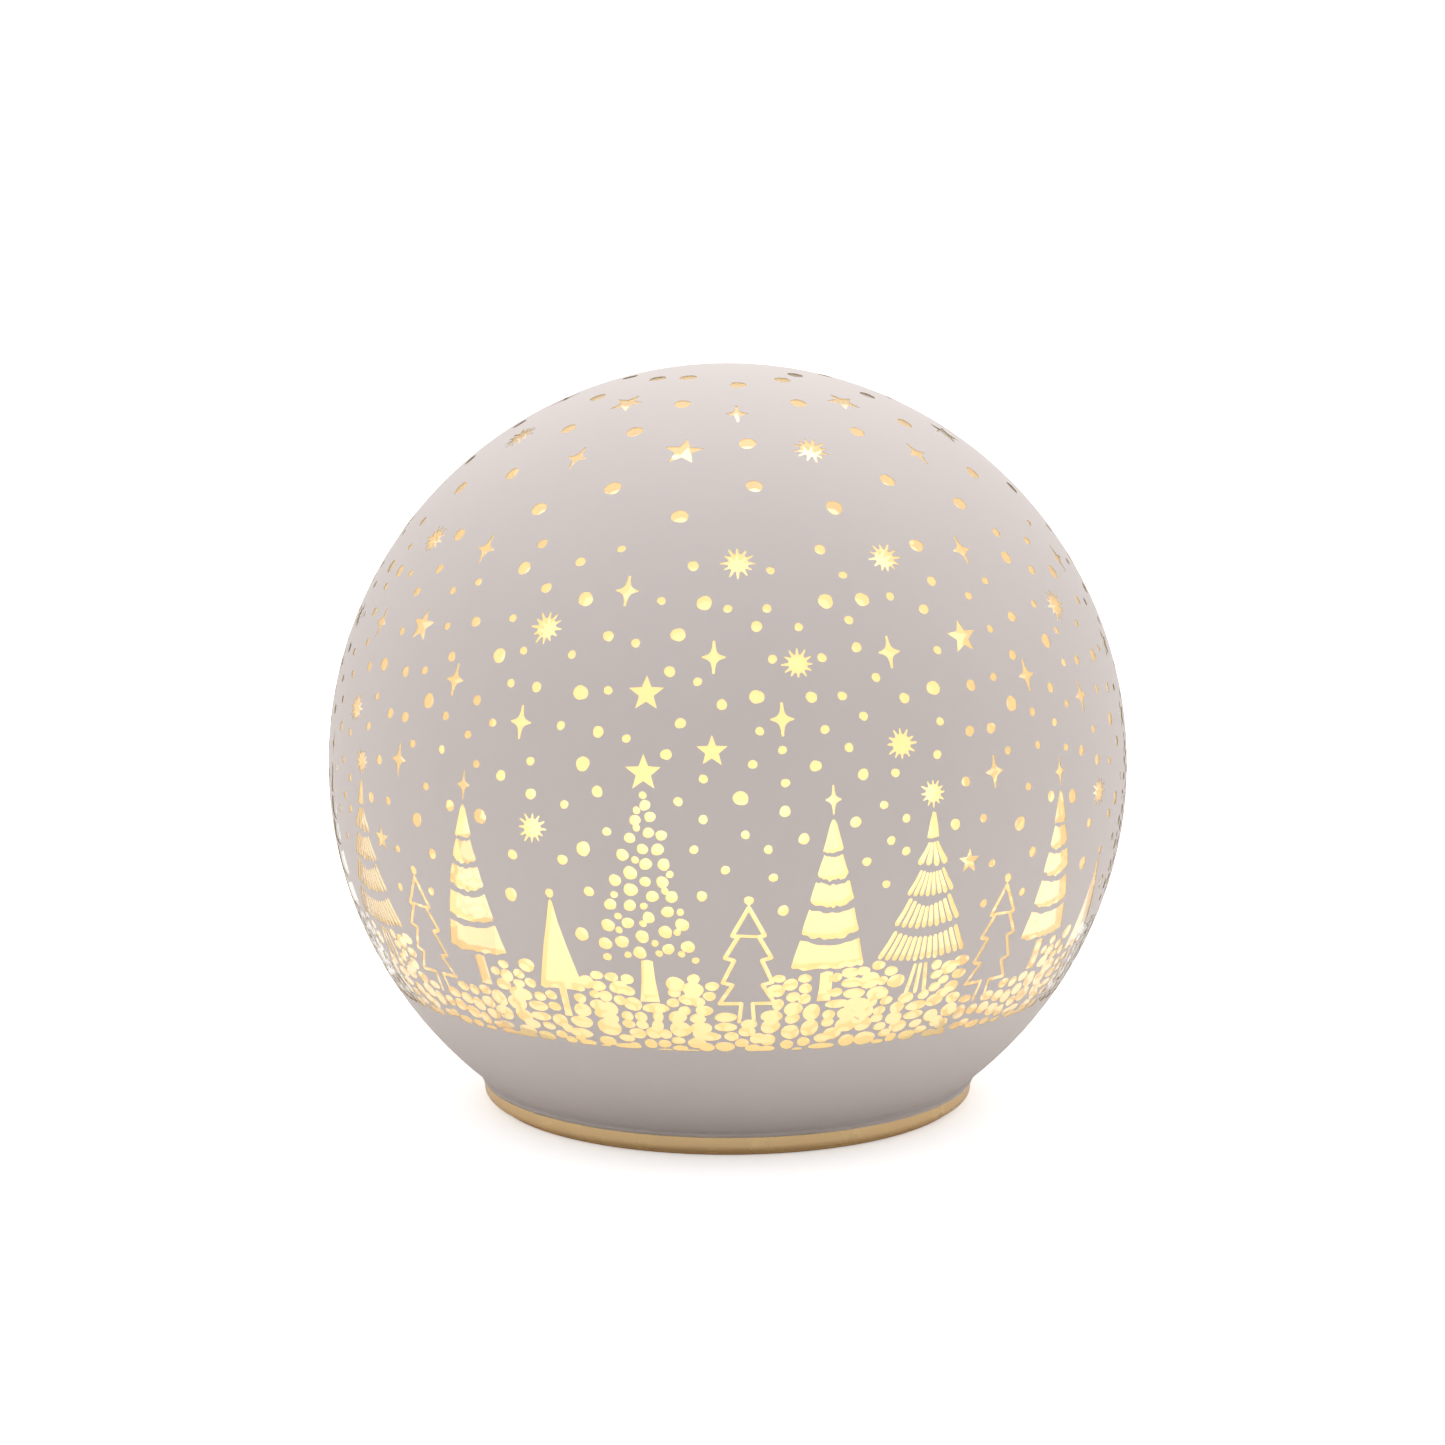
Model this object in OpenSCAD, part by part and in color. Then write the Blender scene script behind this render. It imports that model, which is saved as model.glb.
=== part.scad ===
// Lit glass globe on a gold battery base: millimetres, +Z up, origin at the middle of the foot ring's underside.

/* [Globe] */
// Outside diameter of the lacquered globe
globe_d = 150; // [140:1:160]
// Thickness of the blown glass
glass_t = 1.4; // [1.2:0.1:1.5]
// Thickness of the outer white lacquer
coat_t = 0.2; // [0.15:0.05:0.25]
// Thickness of the inner gold plating
plating_t = 0.1; // [0.08:0.01:0.12]
// Outside radius of the neck, over the lacquer
neck_r = 46.6; // [46.4:0.1:47.2]
// Height of the neck's straight wall
neck_h = 1.4; // [1:0.1:2.5]

/* [Base] */
// How far the foot ring stands proud of the base
foot_proud = 0.8; // [0.5:0.1:1]
// Height of the gold ring that shows below the globe
ring_h = 2.9; // [2.9:0.1:3.2]
// Radius on the gold ring's lower edge
ring_edge = 1.2; // [0.6:0.1:1.6]
// Outside radius of the plug that stands in the neck
plug_r = 44.4; // [44:0.1:44.4]
// Wall of the plug
plug_wall = 1.8; // [1.4:0.1:2]
// Height of the plug's top above the table
plug_top = 17; // [17:0.5:20]
// Thickness of the deck over the battery housing
deck_t = 1.6; // [1.4:0.1:2]

/* [Light] */
// Height of the frosted shade above the deck
shade_h = 82; // [60:1:88]
// Wall of the frosted shade
shade_wall = 1; // [0.8:0.1:1.4]
// Height of the lamp post above the deck
post_h = 41; // [30:1:50]
// Number of lamps round the rim of the lamp board
rim_leds = 6; // [4:1:8]

/* [Batteries] */
// Length of an AAA cell over its button
cell_l = 44.5; // [44.3:0.1:44.5]
// Diameter of an AAA cell
cell_d = 10.5; // [10.1:0.1:10.5]
// Distance between the cells' middles
cell_pitch = 11; // [11:0.1:11.2]
// Length of a contact spring with its cell in place
spring_l = 3.6; // [3.2:0.1:3.8]

/* [Switch] */
// How far along X the slider stands from the slot's middle when it is on
switch_on_x = 2; // [1.8:0.1:2.2]

/* [Hidden] */

$fn = 96;
eps = 0.01;
far = 400;

// Levels above the table
base_z = foot_proud;
floor_z = base_z + ring_h;
neck_top = floor_z + neck_h;
deck_z = plug_top + deck_t;

// Radii of the globe's layers, from the outside in
coat_r = globe_d / 2;
glass_r = coat_r - coat_t;
inner_r = glass_r - glass_t;
clear_r = inner_r - plating_t;
neck_glass_r = neck_r - coat_t;
neck_inner_r = neck_glass_r - glass_t;
neck_clear_r = neck_inner_r - plating_t;
centre_z = neck_top + sqrt(coat_r * coat_r - neck_r * neck_r);

// Battery bay
cell_rows = [-cell_pitch, 0, cell_pitch];
contact_t = 0.4;
button_h = 1;
button_r = 1.9;
cell_rest = 0.05;
bay_x = (cell_l + spring_l + cell_rest + 2 * contact_t) / 2;
bay_y = cell_pitch + cell_d / 2 + 0.35;
bay_wall = 1.4;
door_t = 1.6;
door_gap = 0.2;
door_lap = 2;
door_x = bay_x + door_lap;
door_y = bay_y + door_lap;
door_corner = 3;
cell_z = base_z + door_t + 0.6 + cell_d / 2;
bay_top = cell_z + cell_d / 2 + 0.5;
bay_roof = 1.5;
tab_w = 3;
tab_top = bay_top + bay_roof + 1.2;

// Screws: pilot radius, shank radius, head radius
pilot_r = 1.25;
shank_r = 1.2;
head_r = 2.4;
door_screw_x = door_x + 2.9;
door_tongue_r = 4.4;
door_boss_top = base_z + 11;
deck_boss_at = 27;
deck_boss_r = 3;

// Foot ring
foot_in = 37;
foot_out = 43;
foot_t = 1.6;

// Switch
switch_y = -27;
switch_w = 13;
switch_d = 6;
switch_h = 5;
stem_w = 3;
stem_d = 2.6;
switch_travel = 4;
thumb_w = 14;
thumb_d = 7;
thumb_depth = 1.2;

// Control board
board_y = 27;
board_w = 30;
board_d = 13;
board_t = 1.2;
board_z = floor_z + 1.8;
board_post_x = 12;

// Lamp post
post_r = 3.5;
post_bore = 2.6;
post_foot_r = 8;
lamp_board_r = 8;
lamp_z = deck_z + post_h;
lamp_ring_r = 5.6;

// Wires
wire_r = 0.55;
wire_sides = 8;
over_bay = bay_top + bay_roof + wire_r + 0.15;
joint_gap = 0.04;
on_board = board_z + board_t + joint_gap;
on_switch = floor_z + switch_h + joint_gap;
lamp_red_route = [[6, 25, on_board], [6, 25, 9], [6, 24, 12], [5.6, 22.6, 14.4], [5, 20.5, 15.7],
    [4.4, 18, over_bay], [3.2, 12, over_bay], [2, 6, over_bay], [1.3, 2.2, over_bay + 0.3], [1, 0.7, over_bay + 1.4],
    [1, 0, over_bay + 4], [1, 0, 30], [1, 0, 45], [1, 0, lamp_z]];
lamp_black_route = [for (p = lamp_red_route) [-p[0], p[1], p[2]]];
switch_route = [[-4, switch_y, on_switch], [-4, switch_y, 11], [-4.6, -25, 13.6], [-6, -22, 15.4],
    [-8, -18.5, over_bay], [-10, -12, over_bay], [-11, 0, over_bay], [-11, 12, over_bay], [-10.5, 18.5, over_bay],
    [-10, 21.5, 15.2], [-9.6, 23.5, 12.6], [-9.6, 24.5, 9.5], [-9.6, 24.5, on_board]];
solder_x = bay_x - contact_t - wire_r - 0.02;
battery_red_route = [[solder_x, 0.8 - cell_pitch, over_bay], [solder_x, -15.4, over_bay], [22.8, -18.8, over_bay],
    [20, -21.4, 14.8], [15, -24.2, 13.4], [10, -26.4, 12.6], [6, -27, 11.8], [4, switch_y, 10.4],
    [4, switch_y, on_switch]];
battery_black_route = [[-solder_x, cell_pitch - 0.8, over_bay], [-solder_x, 15.4, over_bay], [-22.8, 18.8, over_bay],
    [-20, 21.4, 14.6], [-17, 22.6, 12], [-14.2, 23.3, 9.6], [-13, 23.5, 8.2], [-13, 23.5, on_board]];

// A length of round tube swept along points, closed at both ends.
function unit(v) = v / norm(v);
function way(p, i) = unit(p[min(i + 1, len(p) - 1)] - p[min(max(i - 1, 0), len(p) - 2)]);
function side_of(t) = unit(cross(abs(t[2]) < 0.9 ? [0, 0, 1] : [0, 1, 0], t));
// The same side direction turned as little as possible, so the tube never twists.
function carried(u, t) = unit(u - (u * t) * t);

module tube_along(points, r, sides) {
    last = len(points) - 1;
    sideways = [for (i = 0, u = side_of(way(points, 0)); i <= last; i = i + 1, u = carried(u, way(points, i))) u];
    rings = [for (i = [0 : last]) let (t = way(points, i), u = sideways[i], v = cross(t, u))
        for (k = [0 : sides - 1]) points[i] + r * (cos(360 * k / sides) * u + sin(360 * k / sides) * v)];
    walls = [for (i = [0 : last - 1], k = [0 : sides - 1], half = [0, 1])
        let (n = (k + 1) % sides, a = i * sides, b = a + sides)
        half == 0 ? [a + k, b + k, b + n] : [a + k, b + n, a + n]];
    start = [for (k = [0 : sides - 1]) k];
    end = [for (k = [sides - 1 : -1 : 0]) last * sides + k];
    polyhedron(rings, concat(walls, [start], [end]));
}

// A smooth line through the points of a route: each stretch is a Catmull-Rom curve.
function blend_at(a, b, c, d, t) = 0.5 * ((2 * b) + (c - a) * t + (2 * a - 5 * b + 4 * c - d) * t * t
    + (3 * b - a - 3 * c + d) * t * t * t);
function smooth(p, steps) = concat([for (i = [0 : len(p) - 2], s = [0 : steps - 1])
    blend_at(p[max(i - 1, 0)], p[i], p[i + 1], p[min(i + 2, len(p) - 1)], s / steps)], [p[len(p) - 1]]);

module wire(route) tube_along(smooth(route, 2), wire_r, wire_sides);

module rounded_slab(x, y, r, z0, h)
    translate([0, 0, z0]) linear_extrude(h) union() {
        square([2 * x, 2 * (y - r)], center = true);
        square([2 * (x - r), 2 * y], center = true);
        for (sx = [-1, 1], sy = [-1, 1]) translate([sx * (x - r), sy * (y - r)]) circle(r);
    }

// A ball on a neck, used for each of the globe's layers.
module flask(ball, neck, bottom) {
    intersection() {
        translate([0, 0, centre_z]) sphere(ball);
        translate([-far / 2, -far / 2, neck_top - neck_h / 2]) cube(far);
    }
    translate([0, 0, bottom]) cylinder(r = neck, h = neck_top + neck_h - bottom);
}

module layer(ball_out, neck_out, ball_in, neck_in)
    difference() {
        flask(ball_out, neck_out, floor_z);
        flask(ball_in, neck_in, floor_z - 1);
    }

module glass_globe() color("lightyellow", 0.4) layer(glass_r, neck_glass_r, inner_r, neck_inner_r);

module white_coat() color("#cdc3bf") layer(coat_r, neck_r, glass_r, neck_glass_r);

module gold_plating() color("#d8b070") layer(inner_r, neck_inner_r, clear_r, neck_clear_r);

module seal_bead() color("ivory") translate([0, 0, floor_z]) difference() {
    cylinder(r = neck_clear_r, h = 1.8);
    translate([0, 0, -1]) cylinder(r = plug_r, h = 4);
}

// Outline of the door, with a tongue for a screw at each end; gap widens it into the recess.
module door_slab(gap, z0, h) {
    rounded_slab(door_x + gap, door_y + gap, door_corner + gap, z0, h);
    for (s = [-1, 1]) translate([s * door_screw_x, 0, z0]) cylinder(r = door_tongue_r + gap, h = h);
}

module cup_shell() difference() {
    union() {
        rotate_extrude() union() {
            translate([0, base_z]) square([neck_glass_r - ring_edge, ring_h]);
            translate([0, base_z + ring_edge]) square([neck_glass_r, ring_h - ring_edge]);
            intersection() {
                translate([neck_glass_r - ring_edge, base_z + ring_edge]) circle(ring_edge);
                square([far, far]);
            }
        }
        cylinder(r = plug_r, h = plug_top);
    }
    translate([0, 0, floor_z]) cylinder(r = plug_r - plug_wall, h = far);
    translate([0, 0, -1]) cylinder(r = base_z + 0.1, h = 0.5);
}

module bay_box() translate([-bay_x - bay_wall, -bay_y - bay_wall, floor_z - eps])
    cube([2 * (bay_x + bay_wall), 2 * (bay_y + bay_wall), bay_top + bay_roof - floor_z + eps]);

module base_cup() color("#c49a6a") difference() {
    union() {
        cup_shell();
        bay_box();
        for (s = [-1, 1]) translate([s * door_screw_x, 0, base_z + 1]) cylinder(r = 3.2, h = door_boss_top - base_z - 1);
        for (a = [45 : 90 : 315]) rotate(a) translate([deck_boss_at * sqrt(2), 0, base_z + 1])
            cylinder(r = deck_boss_r, h = plug_top - base_z - 1);
        for (s = [-1, 1]) translate([s * board_post_x, board_y + 3, base_z + 1]) cylinder(r = 2.2, h = board_z - base_z - 1);
    }
    translate([-bay_x, -bay_y, -1]) cube([2 * bay_x, 2 * bay_y, bay_top + 1]);
    door_slab(door_gap, -1, 1 + base_z + door_t);
    for (s = [-1, 1]) translate([s * door_screw_x, 0, 0]) cylinder(r = pilot_r, h = door_boss_top - 1);
    for (a = [45 : 90 : 315]) rotate(a) translate([deck_boss_at * sqrt(2), 0, floor_z + 2]) cylinder(r = pilot_r, h = far);
    for (s = [-1, 1]) translate([s * board_post_x, board_y + 3, floor_z - 1]) cylinder(r = 0.95, h = far);
    foot_groove(0.05);
    // Slot and thumb recess of the switch
    rounded_slab_at(0, switch_y, thumb_w / 2, thumb_d / 2, 2, -1, 1 + base_z + thumb_depth);
    translate([-(stem_w + switch_travel) / 2 - 0.3, switch_y - stem_d / 2 - 0.3, -1])
        cube([stem_w + switch_travel + 0.6, stem_d + 0.6, far / 10]);
    // Slits in the bay's roof for the soldering tabs
    for (s = [-1, 1]) translate([s * (bay_x - contact_t / 2), -s * cell_pitch, bay_top])
        cube([contact_t + 0.1, tab_w + 0.3, 10], center = true);
}

module rounded_slab_at(x0, y0, x, y, r, z0, h) translate([x0, y0, 0]) rounded_slab(x, y, r, z0, h);

module foot_groove(gap) translate([0, 0, -1]) difference() {
    cylinder(r = foot_out + gap, h = 1 + foot_t);
    translate([0, 0, -1]) cylinder(r = foot_in - gap, h = 4 + foot_t);
}

module foot_ring() color("#3b3a38") difference() {
    cylinder(r = foot_out, h = foot_t);
    translate([0, 0, -1]) cylinder(r = foot_in, h = foot_t + 2);
}

module deck_plate() color("white") difference() {
    union() {
        translate([0, 0, plug_top]) cylinder(r = plug_r, h = deck_t);
        translate([0, 0, deck_z]) difference() {
            cylinder(r = 43.1, h = 2);
            translate([0, 0, -1]) cylinder(r = 41.7, h = 4);
        }
    }
    translate([0, 0, plug_top - 1]) cylinder(r = post_bore, h = 4);
    for (a = [45 : 90 : 315]) rotate(a) translate([deck_boss_at * sqrt(2), 0, plug_top - 1]) cylinder(r = 1.6, h = 4);
}

// A screw standing on its head's underside at the origin, its point down; slot_d deep cross in the head.
module cross_screw(r, length, head, head_h) difference() {
    union() {
        translate([0, 0, -length + r]) cylinder(r = r, h = length - r + eps);
        translate([0, 0, -length]) cylinder(r1 = r * 0.4, r2 = r, h = r);
        cylinder(r = head, h = head_h);
    }
    for (a = [0, 90]) rotate(a) translate([-head * 0.6, -head * 0.13, head_h * 0.45]) cube([head * 1.2, head * 0.26, head_h]);
}

module deck_screws() color("silver") for (a = [45 : 90 : 315]) rotate(a)
    translate([deck_boss_at * sqrt(2), 0, deck_z]) cross_screw(shank_r, 9, 2.6, 1.5);

// Closed-topped frosted cup that stands over the lamps, with a rounded shoulder.
shade_r = plug_r - 0.2;
shade_shoulder = 4;

module shade_outline(r, top, shoulder) union() {
    square([r, top - shoulder]);
    square([r - shoulder, top]);
    intersection() {
        translate([r - shoulder, top - shoulder]) circle(shoulder);
        square([far, far]);
    }
}

module frosted_shade() color("cornsilk", 0.8) translate([0, 0, deck_z]) rotate_extrude() difference() {
    shade_outline(shade_r, shade_h, shade_shoulder);
    translate([0, -1]) shade_outline(shade_r - shade_wall, shade_h - shade_wall + 1, shade_shoulder - shade_wall);
}

module lamp_post() color("whitesmoke") translate([0, 0, deck_z]) difference() {
    union() {
        cylinder(r = post_foot_r, h = 1.5);
        cylinder(r = post_r, h = post_h);
        translate([0, 0, 1.5 - eps]) cylinder(r1 = 5.2, r2 = post_r, h = 4);
        translate([0, 0, post_h - 3]) cylinder(r1 = post_r, r2 = 5.4, h = 3);
    }
    translate([0, 0, -1]) cylinder(r = post_bore, h = post_h + 2);
}

module lamp_board() color("white") translate([0, 0, lamp_z]) cylinder(r = lamp_board_r, h = board_t);

module led() {
    translate([-1.75, -1.4, 0]) cube([3.5, 2.8, 1.2]);
    translate([0, 0, 1.2]) cylinder(r1 = 1.25, r2 = 1, h = 0.6);
}

module lamp_leds() color("khaki") translate([0, 0, lamp_z + board_t]) {
    led();
    for (i = [0 : rim_leds - 1]) rotate(360 * i / rim_leds) translate([lamp_ring_r, 0, 0]) led();
}

module lamp_red_lead() color("firebrick") wire(lamp_red_route);

module lamp_black_lead() color("#222222") wire(lamp_black_route);

module control_board() color("seagreen") difference() {
    translate([-board_w / 2, board_y - board_d / 2, board_z]) cube([board_w, board_d, board_t]);
    for (s = [-1, 1]) translate([s * board_post_x, board_y + 3, board_z - 1]) cylinder(r = 1.2, h = 4);
}

module board_screws() color("silver") for (s = [-1, 1])
    translate([s * board_post_x, board_y + 3, board_z + board_t]) cross_screw(0.9, 3.6, 1.8, 1.1);

module timer_chip() color("#26262a") translate([0, board_y + 1.5, board_z + board_t]) {
    translate([-2.5, -2, 0.15]) cube([5, 4, 1.45]);
    for (s = [-1, 1], i = [-1.5 : 1 : 1.5]) translate([i * 1.27 - 0.2, s > 0 ? 2 - eps : -3, 0]) cube([0.4, 1 + eps, 0.3]);
}

module quartz_can() color("silver") translate([8.6, board_y + 2, board_z + board_t + 1]) rotate([90, 0, 0])
    cylinder(r = 1, h = 6);

module resistors() color("#26262a") for (s = [0, 1])
    translate([-7.6 + 2.6 * s, board_y + 1.8, board_z + board_t]) cube([1.6, 3.2, 0.6]);

module capacitor() color("#c9a15c") translate([-0.4, board_y - 4.4, board_z + board_t]) cube([3.2, 1.8, 1.6]);

module switch_body() color("silver") difference() {
    translate([-switch_w / 2, switch_y - switch_d / 2, floor_z]) cube([switch_w, switch_d, switch_h]);
    translate([-(stem_w + switch_travel) / 2 - 0.3, switch_y - stem_d / 2 - 0.3, floor_z - 1])
        cube([stem_w + switch_travel + 0.6, stem_d + 0.6, 2.5]);
    translate([-5, switch_y - 2, floor_z + 1]) cube([10, 4, 2.2]);
}

module switch_slider() color("#222222") translate([switch_on_x, switch_y, 0]) {
    translate([-stem_w / 2, -stem_d / 2, base_z + 0.6]) cube([stem_w, stem_d, floor_z - base_z + 1]);
    translate([-2.6, -1.8, floor_z + 1.2]) cube([5.2, 3.6, 1.7]);
    for (i = [-1, 0, 1]) translate([i - 0.25, -stem_d / 2, base_z + 0.25]) cube([0.5, stem_d, 0.5]);
}

module switch_lead() color("whitesmoke") wire(switch_route);

module battery_red_lead() color("firebrick") wire(battery_red_route);

module battery_black_lead() color("#222222") wire(battery_black_route);

// One cell lying along X, its button towards +X; way is 1 or -1.
module cell(row, way) translate([0, cell_rows[row], cell_z]) mirror([way < 0 ? 1 : 0, 0, 0])
    translate([bay_x - contact_t - cell_rest - cell_l, 0, 0]) rotate([0, 90, 0]) {
        cylinder(r = cell_d / 2 - 0.3, h = 0.3 + eps);
        translate([0, 0, 0.3]) cylinder(r = cell_d / 2, h = cell_l - button_h - 0.6);
        translate([0, 0, cell_l - button_h - 0.3 - eps]) cylinder(r = cell_d / 2 - 0.5, h = 0.3 + eps);
        translate([0, 0, cell_l - button_h - eps]) cylinder(r = button_r, h = button_h + eps);
    }

module cell_left() color("#8f949a") cell(0, 1);

module cell_middle() color("#8f949a") cell(1, -1);

module cell_right() color("#8f949a") cell(2, 1);

// Springs press on each cell's flat end.
function cell_way(row) = row == 1 ? -1 : 1;
spring_turns = 3.5;
spring_wire = 0.3;
spring_steps = 8;

module spring() tube_along([for (i = [0 : spring_turns * spring_steps]) let (s = i / (spring_turns * spring_steps),
    a = 360 * i / spring_steps, r = 3.6 - 1.4 * s) [spring_wire + s * (spring_l - 2 * spring_wire - cell_rest),
    r * cos(a), r * sin(a)]], spring_wire, 6);

module contact_springs() color("silver") for (row = [0 : 2]) translate([0, cell_rows[row], cell_z])
    mirror([cell_way(row) < 0 ? 1 : 0, 0, 0]) translate([-bay_x + contact_t, 0, 0]) spring();

// A contact plate on the bay's end wall at side s, from row y0 to row y1.
plate_w = 8.8;
plate_h = 8;

module contact_plate(s, y0, y1)
    translate([s > 0 ? bay_x - contact_t : -bay_x, y0 - plate_w / 2, cell_z - plate_h / 2])
        cube([contact_t, y1 - y0 + plate_w, plate_h]);

module link_plates() color("silver") {
    contact_plate(-1, -cell_pitch, 0);
    contact_plate(1, 0, cell_pitch);
}

module output_plates() color("silver") for (s = [-1, 1]) {
    contact_plate(s, -s * cell_pitch, -s * cell_pitch);
    translate([s > 0 ? bay_x - contact_t : -bay_x, -s * cell_pitch - tab_w / 2, cell_z])
        cube([contact_t, tab_w, tab_top - cell_z]);
}

module battery_door() color("#c49a6a") difference() {
    union() {
        door_slab(0, base_z, door_t);
        for (s = [-1, 1]) translate([-bay_x + 4, s * cell_pitch / 2 - 0.7, base_z + door_t - eps])
            cube([2 * bay_x - 8, 1.4, 1.4 + eps]);
    }
    for (s = [-1, 1]) translate([s * door_screw_x, 0, 0]) {
        cylinder(r = 1.5, h = 10);
        cylinder(r = head_r + 0.2, h = base_z + 0.8);
    }
    for (s = [-1, 1]) translate([0, s * (door_y + 2), 0]) cylinder(r = 5, h = base_z + 0.9);
}

module door_screw(s) color("silver") translate([s * door_screw_x, 0, base_z + 0.8]) mirror([0, 0, 1])
    cross_screw(shank_r, 8, head_r, 0.7);

module door_screw_east() door_screw(1);

module door_screw_west() door_screw(-1);

glass_globe();
white_coat();
gold_plating();
seal_bead();
base_cup();
foot_ring();
deck_plate();
deck_screws();
frosted_shade();
lamp_post();
lamp_board();
lamp_leds();
lamp_red_lead();
lamp_black_lead();
control_board();
board_screws();
timer_chip();
quartz_can();
resistors();
capacitor();
switch_body();
switch_slider();
switch_lead();
battery_red_lead();
battery_black_lead();
cell_left();
cell_middle();
cell_right();
contact_springs();
link_plates();
output_plates();
battery_door();
door_screw_east();
door_screw_west();
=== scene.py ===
import itertools
import math
import random

import bpy
import numpy as np
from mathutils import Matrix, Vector
from mathutils.geometry import delaunay_2d_cdt


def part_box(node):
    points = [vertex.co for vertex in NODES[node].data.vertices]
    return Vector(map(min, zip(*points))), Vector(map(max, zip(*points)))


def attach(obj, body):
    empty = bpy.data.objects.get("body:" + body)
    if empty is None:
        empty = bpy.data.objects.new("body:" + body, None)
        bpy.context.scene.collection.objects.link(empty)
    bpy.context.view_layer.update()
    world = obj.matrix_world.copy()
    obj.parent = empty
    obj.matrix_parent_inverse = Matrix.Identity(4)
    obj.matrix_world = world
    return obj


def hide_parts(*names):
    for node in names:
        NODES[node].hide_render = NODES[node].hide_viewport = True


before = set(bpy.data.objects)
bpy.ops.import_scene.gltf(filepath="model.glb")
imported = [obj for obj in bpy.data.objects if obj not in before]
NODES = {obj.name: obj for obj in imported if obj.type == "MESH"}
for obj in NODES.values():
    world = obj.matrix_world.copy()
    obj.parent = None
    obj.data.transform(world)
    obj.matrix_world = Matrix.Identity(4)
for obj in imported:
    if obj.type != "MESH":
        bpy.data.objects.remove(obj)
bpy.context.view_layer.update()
MM = 0.001

# ---- sizes, read from the CAD nodes
coat_lo, coat_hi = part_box("white_coat")
_, cup_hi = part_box("base_cup")
shade_lo, shade_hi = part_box("frosted_shade")
BALL = (coat_hi.x - coat_lo.x) / 2          # outside radius of the lacquered globe
MID_Z = coat_hi.z - BALL                    # height of the globe's middle
NECK = cup_hi.x + 0.2 * MM                  # outside radius of the lacquered neck
NECK_GLASS = NECK - 0.2 * MM                # outside radius of the neck's clear glass
NECK_FILM = NECK_GLASS - 1.43 * MM          # outside radius of the gold film in the neck
NECK_FOOT = coat_lo.z                       # where the neck meets the gold ring
COAT_T = 0.06 * MM                          # thickness of the lacquer
GLASS_OUT = BALL - 0.12 * MM                # clear of the lacquer, whose facets sag by up to 0.05 mm
GLASS_IN = BALL - 1.6 * MM
FILM_OUT = BALL - 1.65 * MM
FILM_IN = BALL - 1.73 * MM
BEAD_OUT = 0.42 * MM                        # how far the lacquer bulges over the sealant, below the ball
BEAD_H = 0.9 * MM                           # height of that bulge
CELL_HALF = 25.0                            # mm from a cell's middle to the ends of its wrap's colours
NECK_LAT = -math.degrees(math.acos(NECK / BALL))
BAND_FOOT = -31.9                           # latitude where the pebbles are cut off
PATCH = 120                                 # degrees; a shape that spans more of them wraps round the back
HALF_WEDGE = 45                             # the picture repeats every quarter turn, from -45 to 45 degrees
ROW_STEP = 2.5                              # degrees between the rows of filling points in the lacquer
POINT_STEP = 2.6                            # degrees between the filling points of a row
RIM_POINTS = 121                            # points of one wedge's rim, where the ball meets the neck
rng = random.Random(11)


# ---- the engraved picture, in degrees of longitude and latitude
def wobble(n, amount):
    """n factors near 1 that change smoothly round a closed outline, for a hand-cut look."""
    waves = [(times, high, rng.uniform(0, math.tau)) for times, high in ((2, 1), (3, 0.6), (5, 0.4))]
    out = []
    for t in (math.tau * i / n for i in range(n)):
        sway = sum(high * math.sin(times * t + start) for times, high, start in waves)
        out.append(1 + amount * sway)
    return out


def dot(r):
    """A dot drilled by hand, slightly wider than tall."""
    n = 12 if r < 0.7 else 16
    w = wobble(n, 0.05)
    turn = rng.uniform(0, math.tau)
    angles = [math.tau * i / n + turn for i in range(n)]
    return [(1.04 * r * w[i] * math.cos(t), r * w[i] * math.sin(t)) for i, t in enumerate(angles)]


def star(r, lean):
    """A five-pointed star, leaning by some degrees."""
    waist = 0.43
    out = []
    for i in range(10):
        a = math.radians(90 + 36 * i + lean)
        k = r * (waist if i % 2 else 1) * rng.uniform(0.95, 1.04)
        out.append((k * math.cos(a), k * math.sin(a)))
    return out


def sun(r, rays=12):
    """A disc with short rays that have narrow flat tips."""
    tip = 2.4                                # degrees from the middle of a ray to the sides of its tip
    valley, floor_r = 9.5, 0.6               # degrees to the valleys beside it, and their share of the radius
    out = []
    for i in range(rays):
        a = 360 / rays * i + rng.uniform(-2.5, 2.5)
        reach = rng.uniform(0.87, 1.06)
        for da, f in ((-valley, floor_r), (-tip, reach), (tip, reach), (valley, floor_r)):
            t = math.radians(a + da)
            out.append((r * f * math.cos(t), r * f * math.sin(t)))
    return out


def sparkle(h, w):
    """A tall four-pointed twinkle with thin arms."""
    quarter = [(0.1, 0.97), (0.14, 0.62), (0.24, 0.34), (0.42, 0.19), (0.72, 0.09), (0.97, 0.04)]
    half = [(w * x, h * y) for x, y in quarter] + [(w * x, -h * y) for x, y in reversed(quarter)]
    return half + [(-x, y) for x, y in reversed(half)]


def stroke(a, b, w0, w1=None):
    """A round-ended line from a to b, w0 wide at a and w1 at b."""
    w1 = w0 if w1 is None else w1
    dx, dy = b[0] - a[0], b[1] - a[1]
    k = math.hypot(dx, dy)
    ux, uy = dx / k, dy / k
    out = []
    for p, w, turn in ((a, w0 / 2, 90), (b, w1 / 2, -90)):
        for d in (0, 60, 120, 180):
            t = math.atan2(uy, ux) + math.radians(turn + d)
            out.append((p[0] + w * math.cos(t), p[1] + w * math.sin(t)))
    return out


def moved(shape, dx, dy):
    """The same shape, further along by (dx, dy)."""
    return [(x + dx, y + dy) for x, y in shape]


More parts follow.
